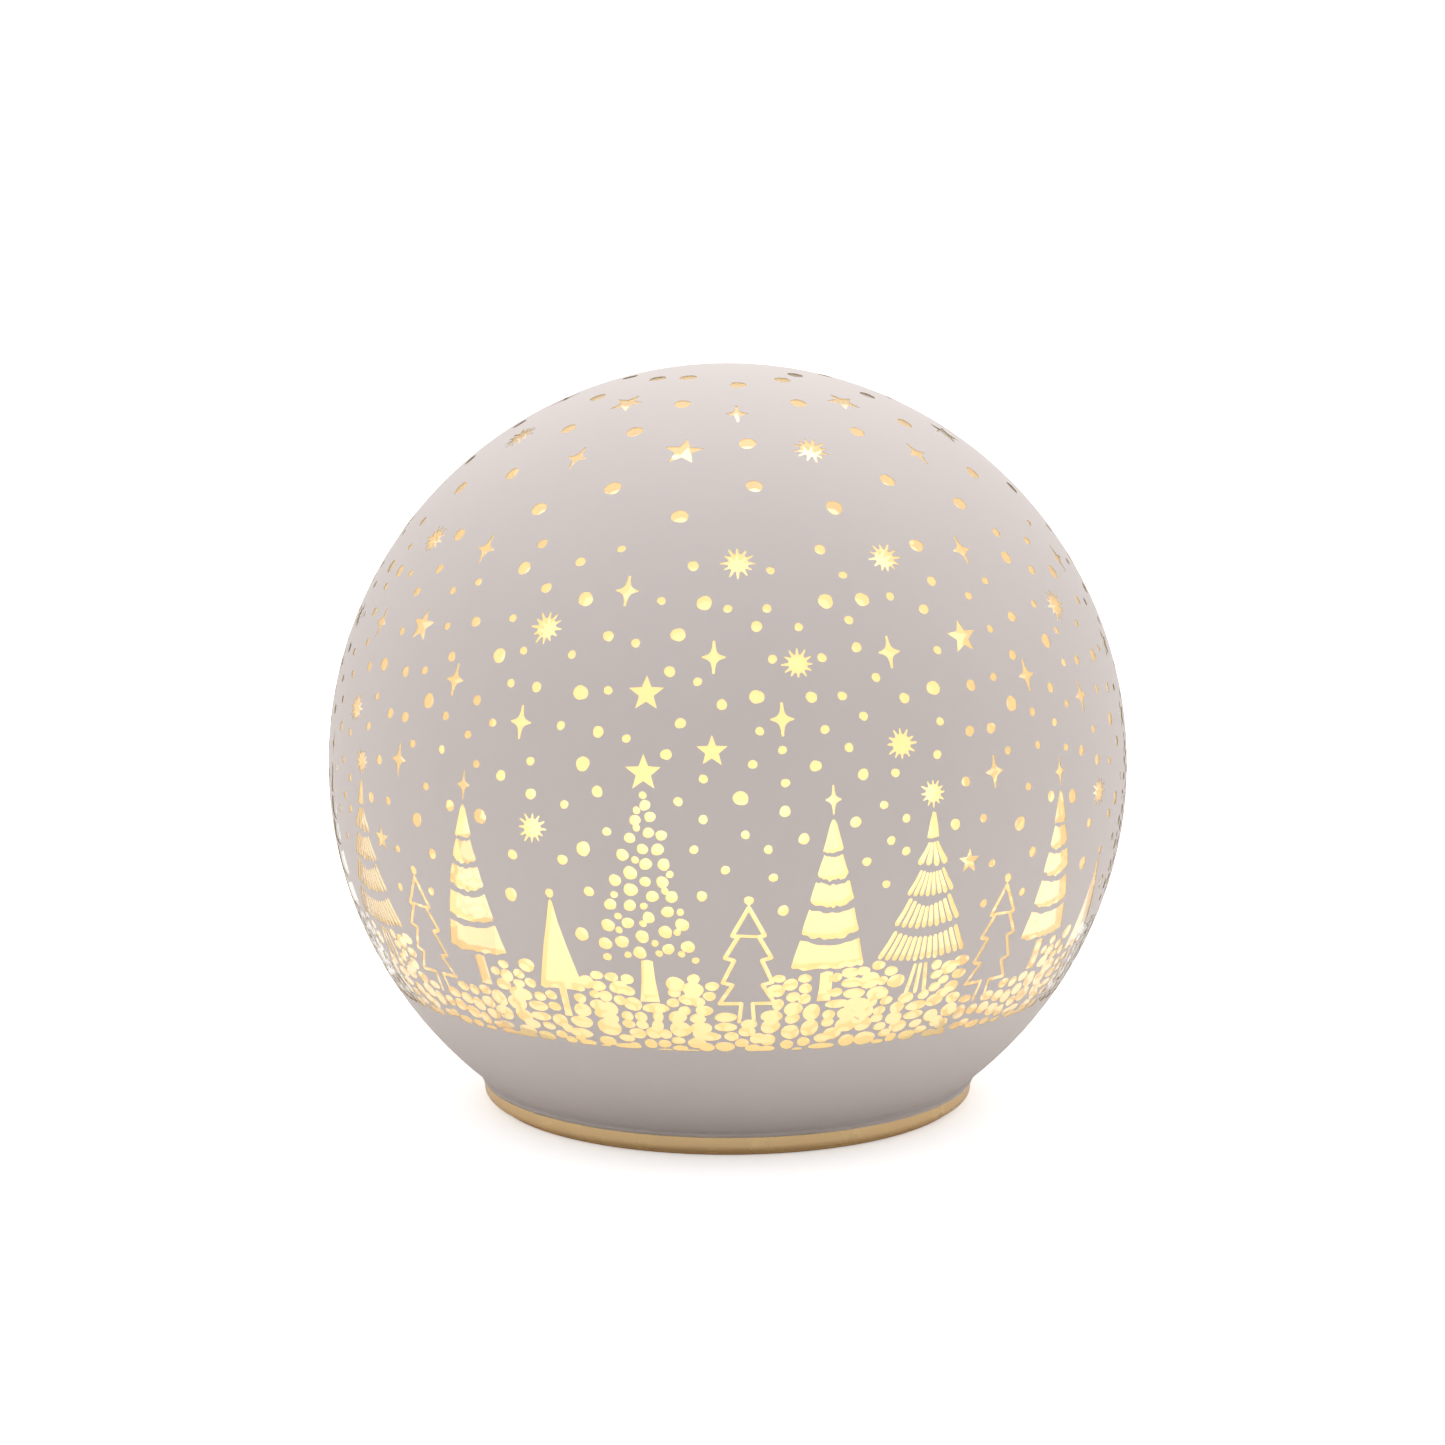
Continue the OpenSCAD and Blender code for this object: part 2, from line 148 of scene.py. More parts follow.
def dotted_tree():
    """Loose dots on a solid trunk; each row gives (place, radius in tenths of a degree)."""
    rows = {6.0: [(0, 5)], 4.7: [(0.3, 7)], 4.0: [(-0.8, 5)], 3.2: [(1, 7)], 2.7: [(-1, 7)],
            1.7: [(-0.8, 5)], 1.1: [(0.8, 7)], 0.8: [(2.5, 7)], 0.3: [(-1.7, 7)],
            -1.1: [(0, 7), (2, 8)], -2: [(-2.7, 8)], -2.6: [(-1, 5)], -3.1: [(0.4, 8), (2.8, 8)],
            -4.4: [(3.6, 5), (-1.7, 9)], -5.5: [(0.3, 7), (-3.8, 8), (2.6, 8)],
            -6.7: [(-1.7, 9), (2.9, 5)], -7.5: [(-4, 5), (1.2, 8), (3.8, 8)],
            -8.9: [(-1.9, 8), (-4.6, 8), (0, 5)], -9.6: [(3.2, 8), (4.9, 5)],
            -10.5: [(-3.6, 5), (0.6, 8)], -11.4: [(-2.3, 8), (5.1, 9), (-0.2, 5)], -11.9: [(-5.1, 9)],
            -12.5: [(-3.6, 5), (2.8, 9), (4.4, 5)], -13.3: [(-0.4, 9)], -14.2: [(-3.3, 9), (1.3, 5)],
            -14.6: [(5.8, 9), (-5.7, 9)], -15: [(3.1, 8)], -15.7: [(-0.9, 9), (1.8, 5), (4.9, 5)],
            -16.1: [(-2.6, 5)], -16.6: [(-5.6, 6), (6.8, 5)]}
    shapes = [moved(dot(tenths / 10), x, y) for y, row in rows.items() for x, tenths in row]
    shapes.append([(-0.8, -16.9), (-1.0, -20), (-1.5, -23.4), (1.4, -23.4), (1.0, -20), (0.8, -16.9),
                   (0, -16.7)])
    return shapes


def outlined_tree():
    """Four tiers and a trunk in thin outline, with a dot on top."""
    side = [(0, -8.9), (2.2, -12.9), (1.4, -13.1), (3.2, -16.2), (1.9, -16.6), (3.5, -20), (2.1, -20.4),
            (4, -23.4), (0.8, -23.4), (1.1, -26.5)]
    shapes = []
    for a, b in zip(side, side[1:]):
        for flip in (1, -1):
            shapes.append(stroke((flip * a[0], a[1]), (flip * b[0], b[1]), 0.58))
    shapes.append(stroke((-1.6, -12.9), (1.6, -13.1), 0.42))
    shapes.append(stroke((0, -8.9), (0, -8.2), 0.3))
    shapes.append(moved(dot(0.62), 0, -7.9))
    return shapes


def sagging(x0, x1, y, sag, rough, n):
    """A ragged edge from x0 to x1 whose middle hangs lower than its ends."""
    return [(x0 + (x1 - x0) * f, y - 4 * sag * f * (1 - f) + rng.uniform(-rough, rough))
            for f in (i / n for i in range(n + 1))]


def tiered_tree():
    """Solid tiers with ragged, sagging feet, a trunk and a sparkle on top."""
    shapes = [moved(sparkle(2.0, 1.1), 0, 5.3)]
    tip = [(0.1, 2.7), (-0.2, 2.65), (-0.5, 2.0), (-0.95, 0.3), (-1.45, -1.5)]
    shapes.append(tip + sagging(-1.2, 1.1, -1.6, 0.1, 0.2, 7) + [(1.35, -1.15), (0.9, 0.4), (0.45, 2.1)])
    tiers = ((-1.95, -4.85, 1.25, 2.1, 0.3, 0.6), (-5.6, -8.4, 2.3, 3.0, 0.38, 0.75),
             (-9.35, -13.0, 3.1, 4.0, 0.6, 0.7), (-13.8, -18.0, 4.15, 5.2, 0.75, 0.35))
    for top, foot, half_top, half_foot, top_sag, foot_sag in tiers:
        half_mid = (half_top + half_foot) / 2 + 0.1
        shapes.append([(-half_top, top), (-half_mid, (top + foot) / 2), (-half_foot, foot + 0.3)]
                      + sagging(-half_foot + 0.2, half_foot - 0.2, foot, foot_sag, 0.25, 13)
                      + [(half_foot, foot + 0.35), (half_mid - 0.1, (top + foot) / 2), (half_top, top)]
                      + sagging(half_top - 0.3, -half_top + 0.3, top - 0.1, top_sag, 0.17, 10))
    shapes.append([(-0.95, -18.9), (-0.9, -21), (-1.05, -23.4), (0.95, -23.4), (0.95, -21), (0.85, -18.8),
                   (0, -18.6)])
    return shapes


def striped_tree():
    """Tiers of bent strokes that fan out, over a trunk of three strokes, with a sun on top."""
    tip = [(-0.15, 2.75), (-0.5, 1.6), (-1.0, -0.7), (-0.3, -0.85), (0.85, -0.65), (0.7, 0.8), (0.35, 2.6)]
    shapes = [moved(sun(1.95), 0, 5.2), tip]
    tiers = ((-1.2, -4.45, 0.6, 1.85, 0.1, 0.15, 4), (-4.9, -8.35, 1.7, 3.25, 0.55, 0.4, 8),
             (-8.75, -12.65, 3.0, 4.7, 1.3, 0.7, 10), (-13.4, -17.4, 4.8, 6.6, 1.1, 0.8, 13))
    for top, foot, half_top, half_foot, top_sag, foot_sag, n in tiers:
        thin, thick = 1.45 * half_top / (n - 1) + 0.1, 1.52 * half_foot / (n - 1)
        for i in range(n):
            f = 2 * i / (n - 1) - 1
            hang = 1 - f * f
            a = (half_top * f, top - thin / 2 - top_sag * hang + rng.uniform(-0.1, 0.1))
            b = (half_foot * f, foot + thick / 2 - foot_sag * hang + rng.uniform(-0.12, 0.12))
            bend = (0.45 * a[0] + 0.55 * b[0] - 0.16 * f, (a[1] + b[1]) / 2)
            shapes.append(stroke(a, bend, thin, (thin + thick) / 2))
            shapes.append(stroke(bend, b, (thin + thick) / 2, thick))
    for f in (-1, 0, 1):
        shapes.append(stroke((f * 0.85, -18.9), (f * 1.5 + 0.1, -23.2), 0.62, 0.74))
    return shapes


def pointed_tree():
    """One plain spire with a trunk, and a dot on top."""
    half = [(0.28, -9.2), (0.85, -12), (1.8, -15.6), (2.8, -19.4), (3.6, -22.2), (2.9, -22.5), (1.5, -22.3),
            (0.6, -22.3), (0.55, -25), (0.65, -26.9)]
    return [[(-x, y) for x, y in half] + half[::-1] + [(0, -8.8)], moved(dot(0.62), 0, -8)]


# Each tree's drawing and its longitude
TREES = [(pointed_tree, -24.5), (dotted_tree, -11.2), (outlined_tree, 2.8), (tiered_tree, 14),
         (striped_tree, 28.3), (outlined_tree, 41.5), (tiered_tree, -38)]

# Longitude, latitude and, for suns and stars, radius, all in degrees
SUNS = [(-28, 27.4, 2.3), (10, 23.3, 2.1), (24, 12, 2.2), (-26.7, 0.7, 2.1), (1.7, 37.7, 2.3),
        (27.3, 37.7, 2.3), (21.3, 57.3, 2.5)]
STARS = [(-11.3, 19.3, 2.4), (-2.1, 11.9, 2.1), (-11.2, 8.9, 2.5), (37, 25.4, 2.5), (34.2, -4.6, 1.8),
         (-11, 57.2, 2.8), (-41, 68.4, 2.6)]
SPARKLES = [(-16, 33.3), (-2, 24.3), (24, 24.3), (-42.2, 19), (-29.4, 14.5), (7.4, 16), (38.6, 7),
            (44, 37.8), (-38.2, 54.8), (3.2, 66.4)]

# Dots by size, as latitude: longitudes
SMALL = {39.5: [-18.5], 36.5: [7], 35.5: [19], 32.8: [-44], 32: [-10.3, 26.2], 31: [0, 6, 41],
         29: [18.5], 28.3: [-34.4, 10.6], 26: [-13.5, 43], 24: [-31, -23, 6.4, 13.6, 32],
         21: [-4.2, 21.3], 19.5: [-32, -16.8, 41], 18.8: [16], 16: [18.8],
         14.5: [-23.2, 4.3, 13.2, 30.3], 14: [-34, -42.6], 13.3: [-13.7], 12: [-38, 7.3, 16.4],
         10.2: [3.3, 29.3], 9.5: [-27.3, 41.4, -42.5], 8.3: [-36, -3.2, 22.8], 7.7: [7.6], 5.3: [-6.5],
         4.2: [-22, 21, 44.9], 3: [-3.2], 2.2: [24.2], 1: [2.3, -16, 36.4], -0.6: [22], -1: [-4.4, 5.3],
         -2.2: [24.2], -3.2: [18.6], -3.7: [-0.3], -4.8: [6], -5.4: [38.2], -6.5: [21.5],
         -10.4: [-45.2], -11: [37.5]}
MEDIUM = {39.5: [-34, 16], 37.2: [-25.3, -5.7], 33: [-30], 33.7: [34.7], 29.8: [31.5], 28.5: [4.3],
          27.2: [-41.3], 26.8: [-17.8], 25.2: [19], 22.3: [-8.2], 22: [-44], 19.3: [-27.7],
          18.8: [11.6, 36.5], 18: [-0.8, 25.2], 16.7: [-37.3], 15.5: [-6.4], 14: [-17.7],
          12.8: [35, 38.8], 11.4: [-8.2], 9.8: [11.7], 8.4: [18.2], 7.2: [-31.8], 6.2: [33.6, -17.4],
          5.2: [-27], 4: [7.5], 2.2: [17, -40.3], 0.7: [31.7], 0.3: [10], -3.2: [-29.8, -22.3],
          -4.9: [-44], -7.3: [-18.7, -3.4], -9.4: [7.4]}
LARGE = {39.2: [34.6], 35.6: [-35.6], 31.8: [-22.6, -3.6, 15.3, 21.3], 27.3: [-7.3], 23: [-35],
         19: [-20.8, 4, 30], 15.6: [43.4], 9.7: [-19.6], 5.8: [1.7], 1.4: [-35], -0.6: [43.1],
         -1.5: [-19.3], -8.8: [-30.5], -13.5: [-20.2], 45: [-38.8, -9], 46.2: [21], 49.5: [-24.4],
         50.4: [5.6, 36.2], 59: [5.2], 60.6: [39], 61.2: [-27.2], 69: [-17.5, 28.2], 76: [6],
         77.5: [38], 79: [-30]}
DOTS = ((SMALL, 0.58), (MEDIUM, 0.72), (LARGE, 0.97))

# The pebble band: longitude, latitude, half width, half height
PEBBLES = [
    (-33.9, -19.6, .87, .66), (-29.8, -19.2, 1.32, 1), (-31.5, -20.8, .95, .7), (-29.8, -22, .9, .76),
    (-35.7, -20.9, .8, .65), (-33.8, -21.4, 1.1, 1), (-31.9, -22.4, 1, .66), (-34.8, -22.9, 1.3, .92),
    (-32.1, -24.1, 1.9, 1.1), (-28.7, -24.1, 1, .72), (-26.7, -23.6, .95, .7), (-26.6, -25.5, 1, .74),
    (-29.5, -25.8, 1.7, .8), (-29.6, -27.6, 1.7, .76), (-28.7, -29.2, 1.1, .66), (-26.9, -30.5, 1, .7),
    (-25.4, -31.3, 1, .6), (-29.8, -31.2, 1.5, .85), (-33.3, -25.8, 1.65, 1.25),
    (-32.8, -27.9, 1.45, 1.2), (-31.8, -29.2, 1.45, .8), (-33.2, -30.6, 1.7, .85),
    (-33.7, -31.5, 2, .5), (-36.6, -25.5, 1.4, 1.3), (-36.6, -28, 1.6, 1.25), (-37.4, -30.3, 1.6, .65),
    (-37.1, -31.5, 1.7, .5), (-39, -24.5, 1.1, .8), (-39.2, -26.6, 1.2, 1), (-39.2, -28.7, 1.2, .9),
    (-39.1, -30.6, 1, .6), (-26.3, -27.9, 1.3, 1.05), (-25.3, -29.2, .95, .8), (-22, -23.6, .97, .74),
    (-22, -25.6, 1.35, 1.1), (-22.6, -27.7, 1.7, 1.05), (-23.2, -29.8, 1.85, .87),
    (-22.5, -31.5, 1.4, .52), (-23.7, -30.8, .8, .5), (-20.5, -20.8, 1.05, 1.05),
    (-18.8, -19.6, .92, .66), (-16.6, -19.7, .95, .7), (-14.3, -19.9, .95, .72),
    (-18.8, -21.3, 1.1, .8), (-15.7, -21.3, 1.35, 1), (-14.4, -21.8, 1, .76), (-19.5, -22.7, .8, .66),
    (-17.9, -22.9, 1, .85), (-15.8, -23.4, .85, .8), (-13.9, -23.9, 1.3, 1.1), (-19.3, -24.5, 1.2, .92),
    (-17.5, -25, 1.1, 1.2), (-19.2, -25.8, .9, .8), (-18.2, -28.2, 1.8, 1.5), (-17.6, -26.6, 1.2, .8),
    (-19, -30.8, 1.4, .8), (-19.6, -31.8, .8, .25), (-15, -26, .87, .8), (-15, -27.4, .95, .7),
    (-12.9, -26, .92, .8), (-12.9, -27.4, .95, .74), (-13.8, -29, 1.3, .87), (-15.7, -30, 1.2, .66),
    (-15.8, -31.5, 2.1, .5), (-14.6, -31.2, .8, .5), (-10.5, -24.4, 1.95, .8), (-10.3, -25.8, .8, .9),
    (-10.5, -27.4, .9, .9), (-11.1, -28.7, 1.35, 1.05), (-9.4, -28.9, .9, .8), (-12, -30.8, .97, .84),
    (-9.8, -30.7, .97, .74), (-9.8, -31.8, 1.1, .2), (-7.4, -20.4, 1.3, 1.15), (-7.6, -21.7, .92, .74),
    (-4.8, -19.5, .87, .74), (-4.9, -21.2, 1.4, 1.2), (-5.5, -22.8, 1.45, .92), (-4.2, -23.2, .9, .8),
    (-7.9, -23.4, .92, .7), (-2.2, -20.6, .95, .7), (-2.6, -22.2, .92, .7), (-6.3, -24.7, .85, .8),
    (-7.4, -25.8, 1.3, 1), (-7.1, -27.9, 1.6, 1.3), (-3.4, -24.6, 1.3, .8), (-4.4, -26, 1.2, .8),
    (-4, -27.7, 1.6, 1.05), (-2.7, -29.1, 1.6, .8), (-4.5, -28.7, .8, .8), (-7.6, -30, 1, .7),
    (-4.7, -30.4, 1.45, .92), (-3.3, -31.1, 1.2, .8), (-7.4, -31.4, 1.2, .5), (-5.8, -31.8, 1.4, .2),
    (-.3, -25.7, 1.65, .76), (-.3, -27.4, 1.7, .74), (.6, -29.1, 1.05, .8), (-.4, -31, 1.45, .87),
    (2.2, -30.3, 1, .8), (3.2, -26.9, 1.15, .8), (2.9, -28.2, 1.2, .92), (4.6, -29.5, 1.2, .92),
    (6.1, -29.8, 1.2, 1.05), (4, -31.3, 1.3, .66), (5.9, -31.5, 1.45, .6), (7.2, -19.5, .9, .6),
    (6.9, -21.4, 1.2, 1), (8.9, -20.5, 1.05, .92), (10.9, -19.6, .92, .66), (11.1, -21.2, .95, .76),
    (9.4, -22.5, .97, .76), (11.1, -22.9, .95, .8), (7.3, -23.7, .8, .92), (6.5, -25.6, 1.55, 1),
    (6.4, -27.4, 1.4, 1.2), (9.6, -24.5, 1.3, 1.1), (9.6, -26.1, 1.05, .9), (9.5, -28.5, 1.4, 1.2),
    (12.4, -25.2, 1.3, 1.3), (12.4, -27.9, 1.28, 1.45), (15.5, -19.7, .82, .66), (15.7, -22.1, .9, .7),
    (15.1, -25.8, .95, .8), (15.1, -27.1, .92, .8), (17.5, -19.1, 1.3, .76), (19.4, -19, 1, .66),
    (18, -20.7, 1.6, .8), (20.6, -20.6, 1.45, 1.3), (18.5, -22.5, 1.6, .8), (22.6, -20.8, .8, .66),
    (22.2, -22.8, 1.7, 1.05), (16.1, -24, 1.8, .66), (19, -24.2, 1.85, .92), (21.4, -24.2, 1.05, .8),
    (18, -25.8, 1.6, 1.05), (20.6, -25.8, 1.45, 1.2), (18.2, -27.7, 1.85, 1.2), (20.9, -27.9, 1.3, 1.2),
    (16.1, -29.2, 1.45, 1.05), (14.6, -29.9, 1.2, .8), (18.8, -30.7, 1.3, 1.05),
    (21.8, -30.6, 1.7, 1.2), (14.8, -31.4, 2, .55), (11.8, -30.4, .97, .82), (9.2, -30.8, 1, .84),
    (10.9, -31.7, .8, .26), (21.6, -18.3, .95, .7), (23.7, -19.4, .97, .74), (24.8, -21.1, 1.3, 1.05),
    (23.9, -24.2, .97, .7), (23.1, -25.8, .97, .74), (23, -27.1, .97, .76), (23.9, -28.7, 1, .74),
    (27.1, -24.1, 1.2, .92), (26, -25.6, 1.2, .92), (25.9, -27.4, 1.3, 1.05), (27.1, -29, 1.45, 1.05),
    (25.1, -30, 1, .74), (26.5, -31, .92, .8), (29.4, -31, 1.45, .92), (24.3, -31.5, 1.05, .4),
    (29.3, -25.7, 1.7, .8), (29.3, -27.3, 1.7, .74), (30.3, -29, 1.1, .7), (30.1, -24, .92, .74),
    (31.1, -19.3, .87, .74), (31.5, -20.9, .97, .7), (33.4, -20, 1.45, 1), (35.5, -19.2, 1.3, .8),
    (35.6, -21.3, 1.3, .72), (33, -21.9, .92, .63), (31.7, -22.9, .97, .74), (34.8, -23.3, 1.3, .92),
    (32.4, -25.2, 1.45, 1.05), (33.5, -24.2, 1.2, .8), (35.9, -25.3, 1.3, .92), (36, -27.4, 1.45, 1.2),
    (32.7, -27.9, 1.3, 1.05), (34.2, -29.1, 1.2, .92), (35.6, -29.8, 1.2, .92), (31.7, -30.3, 1.1, .7),
    (33.8, -31.3, 1.45, .66), (35.9, -31.3, 1.05, .66), (38.5, -28.3, 1.2, 1.2),
    (38.9, -30.8, 1.05, .66), (41.1, -28.2, 1.05, .92), (40.6, -30.5, 1, .7), (38.6, -26, 1.2, .66),
    (43.4, -26.3, 1.4, .8), (43.6, -28.4, 1.3, 1), (42.9, -31.2, 1.5, .7), (46.3, -24.7, 1.1, .8),
    (46.1, -26.8, 1.3, .9), (46.2, -29.2, 1.4, 1.1), (45.9, -31.3, 1.2, .6), (48.6, -24.9, 1, .8),
    (48.4, -27.4, 1.2, 1.1), (48.5, -29.9, 1.1, 1), (48.7, -31.6, 1.2, .45)]


def pebbles():
    """Flattened pebbles in loose stacks, cut off level at the foot."""
    n = 14
    shapes = []
    for x, y, half_w, half_h in PEBBLES:
        half_w, half_h = half_w * 1.05, half_h * 1.06
        w = wobble(n, 0.04)
        shape = []
        for i in range(n):
            t = math.tau * i / n
            shape.append((x + half_w * w[i] * math.cos(t), max(BAND_FOOT, y + half_h * w[i] * math.sin(t))))
        shapes.append(shape)
    return shapes


# ---- from the picture to the globe
def direction(lon, lat):
    a, b = math.radians(lon), math.radians(lat)
    return Vector((math.cos(b) * math.sin(a), -math.cos(b) * math.cos(a), math.sin(b)))


def to_plane(v):
    """Stereographic projection from the south pole, which keeps small shapes' proportions."""
    return (v.x / (1 + v.z), v.y / (1 + v.z))


def from_plane(x, y):
    s = x * x + y * y
    return Vector((2 * x, 2 * y, 1 - s)) / (1 + s)


def placed(shape, lon, lat):
    """A small motif laid flat on the globe at (lon, lat), in plane coordinates."""
    n = direction(lon, lat)
    east = Vector((math.cos(math.radians(lon)), math.sin(math.radians(lon)), 0))
    north = n.cross(east)
    out = []
    for x, y in shape:
        k = math.radians(math.hypot(x, y))
        t = math.atan2(y, x)
        out.append(to_plane(math.cos(k) * n + math.sin(k) * (math.cos(t) * east + math.sin(t) * north)))
    return out


def mapped(shape, lon):
    """A tall motif drawn straight in longitude and latitude."""
    return [to_plane(direction(lon + x, y)) for x, y in shape]


def windows():
    """Every window's outline, in plane coordinates."""
    out = []
    for lon, lat, r in SUNS:
        out.append(placed(sun(r), lon, lat))
    for lon, lat, r in STARS:
        out.append(placed(star(r, rng.uniform(-4, 4)), lon, lat))
    for lon, lat in SPARKLES:
        out.append(placed(sparkle(2.3, 1.6), lon, lat))
    for table, r in DOTS:
        for lat, lons in table.items():
            near_top = 1.15 if lat > 44 else 1
            for lon in lons:
                out.append(placed(dot(r * near_top * rng.uniform(0.95, 1.05)), lon, lat))
    for tree, lon in TREES:
        for shape in tree():
            out.append(mapped(shape, lon))
    for shape in pebbles():
        out.append(mapped(shape, 0))
    return out


def area(poly):
    """Positive where the outline runs anticlockwise."""
    return sum(a[0] * b[1] - b[0] * a[1] for a, b in zip(poly, poly[1:] + poly[:1])) / 2


def quarter_turn(poly, k):
    for _ in range(k % 4):
        poly = [(-y, x) for x, y in poly]
    return poly


def engraved_surface():
    """Points and triangles of one quarter of the lacquer, with its windows left out, in plane coordinates."""
    used = []
    for shape in windows():
        if area(shape) < 0:
            shape = shape[::-1]
        for k in (-1, 0, 1):
            copy = quarter_turn(shape, k)
            angles = [math.degrees(math.atan2(x, -y)) for x, y in copy]
            if max(angles) > -HALF_WEDGE and min(angles) < HALF_WEDGE and max(angles) - min(angles) < PATCH:
                used.append(copy)
    lats = np.arange(90 - ROW_STEP, NECK_LAT + 1, -ROW_STEP)
    west = [(-HALF_WEDGE, lat) for lat in lats]
    rim = [(lon, NECK_LAT) for lon in np.linspace(-HALF_WEDGE, HALF_WEDGE, RIM_POINTS)]
    east = [(HALF_WEDGE, lat) for lat in lats[::-1]]
    verts = [(0.0, 0.0)] + [to_plane(direction(lon, lat)) for lon, lat in west + rim + east]
    faces = [list(range(len(verts)))]
    for lat in lats:
        n = max(1, round(2 * HALF_WEDGE * math.cos(math.radians(lat)) / POINT_STEP))
        for j in range(n):
            verts.append(to_plane(direction(HALF_WEDGE * (2 * (j + 0.5) / n - 1), lat)))
    for shape in used:
        faces.append(list(range(len(verts), len(verts) + len(shape))))
        verts.extend(shape)
    v, _, tris, _, _, owners = delaunay_2d_cdt([Vector(p) for p in verts], [], faces, 1, 1e-6, True)
    # a triangle that lies in the wedge alone lies in no window
    kept = [list(t) for t, own in zip(tris, owners) if list(own) == [0]]
    return [tuple(p) for p in v], kept


def weld(points, faces, tol):
    """Joins points that fall in the same place."""
    steps = list(itertools.product((0, -1, 1), repeat=3))
    keys, index, out = {}, [], []
    for p in points:
        cell = tuple(int(round(c / tol)) for c in p)
        near = (keys.get(tuple(c + d for c, d in zip(cell, step))) for step in steps)
        found = next((i for i in near if i is not None), None)
        if found is None:
            found = len(out)
            keys[cell] = found
            out.append(p)
        index.append(found)
    joined = [[index[i] for i in f] for f in faces]
    return out, [f for f in joined if len(set(f)) == len(f)]


def mesh_object(name, points, faces):
    mesh = bpy.data.meshes.new(name)
    mesh.from_pydata([tuple(p) for p in points], [], faces)
    mesh.validate()
    obj = bpy.data.objects.new(name, mesh)
    bpy.context.scene.collection.objects.link(obj)
    return obj


def smooth(obj, angle=35):
    for poly in obj.data.polygons:
        poly.use_smooth = True
    obj.data.set_sharp_from_angle(angle=math.radians(angle))


def lathe(name, profile, segments=160, closed=True):
    """A figure of revolution from a profile of (radius, height) points; radius 0 meets on the axis."""
    points, rings = [], []
    for r, z in profile:
        if r < 1e-7:
            rings.append([len(points)])
            points.append((0, 0, z))
        else:
            rings.append(list(range(len(points), len(points) + segments)))
            angles = [math.tau * i / segments for i in range(segments)]
            points.extend((r * math.sin(t), -r * math.cos(t), z) for t in angles)
    faces = []
    for a, b in zip(rings, rings[1:] + (rings[:1] if closed else [])):
        if len(a) == 1 and len(b) == 1:
            continue
        for i in range(segments):
            j = (i + 1) % segments
            if len(a) == 1:
                faces.append([a[0], b[i], b[j]])
            elif len(b) == 1:
                faces.append([a[i], b[0], a[j]])
            else:
                faces.append([a[i], b[i], b[j], a[j]])
    return mesh_object(name, points, faces)


def neck_profile(ball, neck, foot, soft=0.55 * MM):
    """From the ball, round a small hollow fillet, down the neck to its foot: (radius, height)."""
    drop = math.sqrt(ball * ball - neck * neck)
    corner = (neck, MID_Z - drop)
    lat = math.asin(drop / ball) - soft / ball
    start = (ball * math.cos(lat), MID_Z - ball * math.sin(lat))
    end = (neck, corner[1] - soft)
    out = []
    for t in (i / 5 for i in range(6)):
        weights = ((1 - t) ** 2, 2 * t * (1 - t), t * t)
        out.append(tuple(sum(w * p[k] for w, p in zip(weights, (start, corner, end))) for k in (0, 1)))
    out.append((neck, (end[1] + foot) / 2))
    out.append((neck, foot))
    return lat, out


def build_coat():
    """The lacquer: a thin closed shell whose windows are cut right through."""
    flat, tris = engraved_surface()
    points, faces = [], []
    for k in range(4):
        base = len(points)
        for x, y in quarter_turn(flat, k):
            points.append(from_plane(x, y))
        faces.extend([[base + i for i in t] for t in tris])
    points, faces = weld(points, faces, 3e-6)
    radial = [Vector(p).normalized() for p in points]
    outer = [Vector((0, 0, MID_Z)) + n * BALL for n in radial]
    inner = [Vector((0, 0, MID_Z)) + n * (BALL - COAT_T) for n in radial]
    # the neck, carried on from the rim of the ball's surface
    rim_z = math.sin(math.radians(NECK_LAT))
    rim = [i for i, n in enumerate(radial) if abs(n.z - rim_z) < 1e-4]
    rim.sort(key=lambda i: math.atan2(radial[i].x, -radial[i].y))
    _, profile = neck_profile(BALL, NECK, NECK_FOOT, 0.3 * MM)
    top = profile[-3][1]
    bead = [(NECK + BEAD_OUT * math.sin(math.pi * t / 6), top - BEAD_H * t / 6) for t in range(1, 7)]
    profile = profile[1:-2] + bead + [(NECK, (bead[-1][1] + NECK_FOOT) / 2), (NECK, NECK_FOOT)]
    last = rim
    ragged = [rng.uniform(0, 0.25) if j % 2 else rng.uniform(0.4, 1) for j in range(len(rim))]
    for step, (r, z) in enumerate(profile):
        ring = []
        for j, i in enumerate(rim):
            side = Vector((radial[i].x, radial[i].y, 0)).normalized()
            # the paint is most chipped at the front left
            chips = 0.12 + 0.5 * max(0.0, -0.6 * side.y - 0.8 * side.x)
            lift = MM * ragged[j] * chips if step == len(profile) - 1 else 0
            ring.append(len(outer))
            outer.append(side * r + Vector((0, 0, z + lift)))
            inner.append(side * (r - COAT_T) + Vector((0, 0, z + lift)))
        for j in range(len(rim)):
            k = (j + 1) % len(rim)
            faces.append([last[j], ring[j], ring[k], last[k]])
        last = ring
    # walls between the two skins, along every window and the neck's foot
    edges = dict.fromkeys((a, b) for f in faces for a, b in zip(f, f[1:] + f[:1]))
    n = len(outer)
    walls = [[b, a, a + n, b + n] for a, b in edges if (b, a) not in edges]
    backs = [[i + n for i in reversed(f)] for f in faces]
    obj = mesh_object("engraved_lacquer", outer + inner, faces + backs + walls)
    smooth(obj, 30)
    return obj


coat = build_coat()


def sphere_arc(ball, lat_from, lat_to, n):
    return [(ball * math.cos(t), MID_Z + ball * math.sin(t)) for t in np.linspace(lat_from, lat_to, n)]


